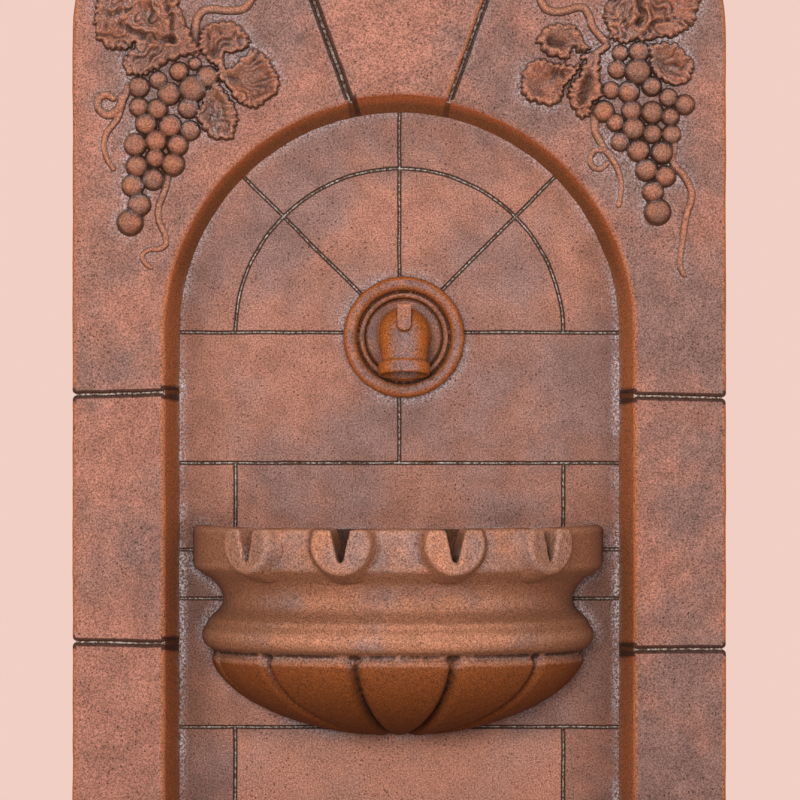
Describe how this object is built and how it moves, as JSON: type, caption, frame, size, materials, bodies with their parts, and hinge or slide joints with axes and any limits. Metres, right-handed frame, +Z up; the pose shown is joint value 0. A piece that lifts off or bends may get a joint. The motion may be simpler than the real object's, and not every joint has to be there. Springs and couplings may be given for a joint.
{
  "type": "wall fountain",
  "caption": "Arched wall fountain with a recessed niche, vine relief, a hooded tap in a ring, a lobed upper bowl with notched lips and a half-oval catch basin.",
  "frame": {"origin": "on the flat back of the panel, in its middle from side to side, 440 mm above its foot", "axes": "+X to the viewer's right, +Y into the wall, +Z up; the front of the fountain faces -Y"},
  "size_m": [0.458, 0.2103, 0.822],
  "materials": {
    "panel_stone": "cast stone with a mottled pink and grey terracotta stain, brown in the recesses",
    "rosette_stone": "cast stone with an orange-brown stain, rubbed pale on the high edges",
    "bowl_stone": "cast stone with a brown-orange stain and dusty pale edges",
    "basin_stone": "cast stone with a brown-orange stain and dusty pale edges"
  },
  "bodies": {
    "root": {"wall_panel": "panel_stone", "spout_rosette": "rosette_stone", "upper_bowl": "bowl_stone", "lower_basin": "basin_stone"}
  },
  "joints": []
}
